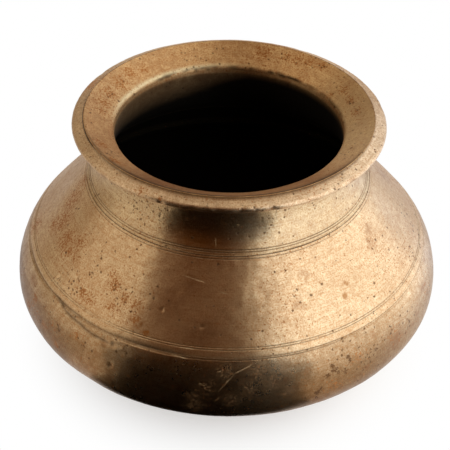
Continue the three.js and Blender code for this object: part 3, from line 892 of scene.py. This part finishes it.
# Scratches, and on the bowl and the shoulder painted glints along the belly joint: two points, each an
# azimuth, a radius and a height, and a strength
BOWL_SCRATCHES_AND_GLINTS = (
    ((7, 113.7, 71.6), (2.5, 115.7, 67.8), 0.5), ((2.5, 115.7, 67.8), (-1.7, 119.1, 57.7), 0.25),
    ((-1, 115.2, 69), (-1.4, 115.4, 68.5), 0.5), ((0.8, 117.3, 64.2), (0.5, 117.5, 63.5), 0.6),
    ((-5.9, 118, 62.1), (-6.1, 118.2, 61.6), 0.5), ((-14.2, 112.2, 73.7), (-9.7, 112.8, 73), 0.6),
    ((-1.1, 119.6, 55), (-2.4, 119.8, 52), 0.2),
)
SHOULDER_SCRATCHES_AND_GLINT = (
    ((-14.1, 85.9, 104), (-10.6, 86.6, 103.2), 0.3), ((-10.6, 86.6, 103.2), (-7.1, 87.2, 102.5), 0.45),
    ((-2, 89.9, 99.5), (1.2, 91.1, 98.1), 0.2), ((-12.3, 109.8, 77.1), (-7.7, 109.6, 77.1), 0.45),
)
NECK_SCRATCHES = (
    ((-4.6, 72.7, 120.1), (-4.3, 75.5, 115.9), 0.3), ((2, 70, 125.5), (2.6, 70, 125), 0.45),
    ((4, 70, 126.6), (4.6, 70, 126.4), 0.4),
)
# Bowl: a satin mirror, browned and cloudy, which goes nearly black where it faces the dark
bowl_brass = old_brass("turned_brass_browned", "#D4B387", "#AE895F", "#A67544", 0.26, 0.02, BOWL_SCRATCHES_AND_GLINTS)
# Shoulder: pale gold satin with fine rings, freckled with rust
shoulder_brass = old_brass(
    "turned_brass_satin", "#D2B082", "#BC966A", "#AC7848", 0.3, 0.02, SHOULDER_SCRATCHES_AND_GLINT)
# Neck: the same gold, a little greyer and smoother, as cast brass turns
collar_brass = old_brass("cast_brass_turned", "#CAAA7C", "#B4926A", "#A27648", 0.28, 0.015, NECK_SCRATCHES)
# Inside of the flare: tan and nearly dull, with soft reflections
flare_brass = old_brass("cast_brass_tan", "#C69C66", "#A87C4E", "#A26A3A", 0.42, 0.012)
# Rim: the palest brass, rubbed by hands
lip_brass = old_brass("cast_brass_worn", "#DAB68A", "#BE9C74", "#A67A4E", 0.34, 0.012)
# Inside of the pot: nearly black, mostly painted shade with a little age in it, so that the mouth looks
# deep
inside_brass_painted_dark = old_brass("brass_painted_dark", "#241C12", "#18120B", "#120E08", 0.6, 0.01)
# Spelter inside the joints: painted dark as shade, like the inside of the pot, with a trace of gold
spelter = old_brass("brazing_spelter_painted_dark", "#3A301C", "#2A2012", "#20180E", 0.6, 0.0)

make_bowl(bowl_brass, inside_brass_painted_dark)
make_shoulder(shoulder_brass, inside_brass_painted_dark)
make_neck(collar_brass, flare_brass, inside_brass_painted_dark)
make_lip_ring(lip_brass, inside_brass_painted_dark)
upstand_depth = BODY_WALL + CLEARANCE
lap_end = BELLY_JOINT + BELLY_LAP + CLEARANCE
belly_ends = body_wall([lap_end + BRAZE_LEG, lap_end], [upstand_depth, upstand_depth + BRAZE_LEG])
make_braze("belly_braze", body_wall(lap_end, upstand_depth), belly_ends, spelter, seed=61)
flange_end = NECK_JOINT - NECK_LAP - CLEARANCE
neck_ends = body_wall([flange_end, flange_end - BRAZE_LEG], [upstand_depth + BRAZE_LEG, upstand_depth])
make_braze("neck_braze", body_wall(flange_end, upstand_depth), neck_ends, spelter, seed=62)
lip_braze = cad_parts["lip_braze"].data
lip_braze.materials.clear()
lip_braze.materials.append(spelter)

# White surroundings light the pot from all round, and a soft lamp at the right is brighter
LAMP_PLACE = (82, 900, 560)
LAMP_AIM = (0, 0, 100)
LAMP_SIZE = (900, 800)
LAMP_WATTS = 9
world = bpy.data.worlds.new("studio")
bpy.context.scene.world = world
world.use_nodes = True
world.node_tree.nodes["Background"].inputs["Color"].default_value = (1, 1, 1, 1)

lamp = bpy.data.lights.new("soft_lamp", "AREA")
lamp.shape = "RECTANGLE"
lamp.size, lamp.size_y = LAMP_SIZE[0] * MM, LAMP_SIZE[1] * MM
lamp.energy = LAMP_WATTS
lamp.color = colour("#FFFAF4")[:3]
lamp_holder = shown(lamp)
lamp_holder.location = Vector(at(*LAMP_PLACE)) * MM
away = Vector(at(*LAMP_PLACE)) - Vector(LAMP_AIM)
lamp_holder.rotation_euler = away.to_track_quat("Z", "Y").to_euler()
lamp_holder.visible_glossy = False

# Cards that the brass mirrors: bright ones at the right, grey ones at the left and behind, and dark
# ones in front, which darken its middle. Each has a shade, a brightness and corners, which are an
# azimuth, a radius and a height
DARK = "#050403"
CARDS = {
    "bright_wall": ("#D8E7FF", 3.0, [(22, 1500, 0), (120, 1500, 0), (120, 1500, 1600), (22, 1500, 1600)]),
    "side_wall": ("#D8E7FF", 2.1, [(120, 1500, 0), (150, 1500, 0), (150, 1500, 1600), (120, 1500, 1600)]),
    "near_table": ("#FFFFFF", 0.95, [(29, 125, 3), (33, 245, 3), (110, 245, 3), (110, 125, 3)]),
    "middle_table": ("#DCEAFF", 1.8, [(33, 245, 2), (31, 420, 2), (120, 420, 2), (120, 245, 2)]),
    "bright_table": ("#D8E7FF", 2.8, [(29, 420, 1), (29, 1500, 1), (130, 1500, 1), (130, 420, 1)]),
    "grey_wall": ("#FFF4E2", 0.52, [
        (-95, 1500, 0), (-175, 1500, 0), (-175, 1500, 2200), (-125, 1500, 2200), (-110, 1500, 520),
        (-95, 1500, 520)]),
    "grey_table": ("#FFFFFF", 0.75, [(-60, 125, 2), (-55, 1500, 2), (-175, 1500, 2), (-175, 125, 2)]),
    "black_wall": (DARK, 0.0, [
        (-48, 690, 0), (33, 690, 0), (33, 690, 150), (29, 690, 250), (24, 690, 400), (-46, 690, 400),
        (-48, 690, 250)]),
    "low_left_wall": (DARK, 0.0, [(-50, 300, 0), (-36, 300, 0), (-36, 300, 100), (-50, 300, 100)]),
    "low_right_wall": (DARK, 0.0, [(18, 300, 0), (34, 300, 0), (34, 300, 100), (18, 300, 100)]),
    "brown_wall": ("#96602A", 0.57, [
        (-51, 700, 300), (20, 700, 300), (18, 700, 460), (15, 700, 700), (15, 700, 1500),
        (-51, 700, 1500)]),
    "dark_table": (DARK, 0.0, [
        (-48, 125, 4), (-41, 245, 4), (-46, 690, 4), (27, 690, 4), (26, 245, 4), (29, 125, 4)]),
}
for name, (shade, brightness, corners) in CARDS.items():
    plain_card(name, [at(*corner) for corner in corners], shade, brightness)

# Pale floor: it keeps the pot's shadow near the foot, and the camera and mirrors see it turn white
# between 35 and 130 mm from the pot's axis
FLOOR_REACH = 6000
floor_corners = [(x * FLOOR_REACH, y * FLOOR_REACH, 0) for x, y in ((-1, -1), (1, -1), (1, 1), (-1, 1))]
floor = plain_card("floor", floor_corners, "#F2F1EE", 0.0, seen_by_all=True)
tree = floor.data.materials[0].node_tree
place = add(tree, "ShaderNodeTexCoord")["Object"]
far = add(tree, VECTOR_MATH, [place], operation="LENGTH")["Value"]
spread = {"Value": far, "From Min": 35 * MM, "From Max": 130 * MM}
far = add(tree, MAP_RANGE, spread, interpolation_type="SMOOTHSTEP")[0]
path = add(tree, "ShaderNodeLightPath")
seen = add(tree, MATH, [path["Is Camera Ray"], path["Is Glossy Ray"]], operation="MAXIMUM")[0]
seen = add(tree, MATH, [seen, path["Is Transmission Ray"]], operation="MAXIMUM")[0]
white = add(tree, MATH, [seen, far], operation="MULTIPLY")[0]
glow = add(tree, "ShaderNodeEmission")[0]
lit = tree.nodes["Diffuse BSDF"].outputs[0]
mixed = add(tree, "ShaderNodeMixShader", {"Fac": white, 1: lit, 2: glow})[0]
tree.links.new(mixed, tree.nodes["Material Output"].inputs["Surface"])
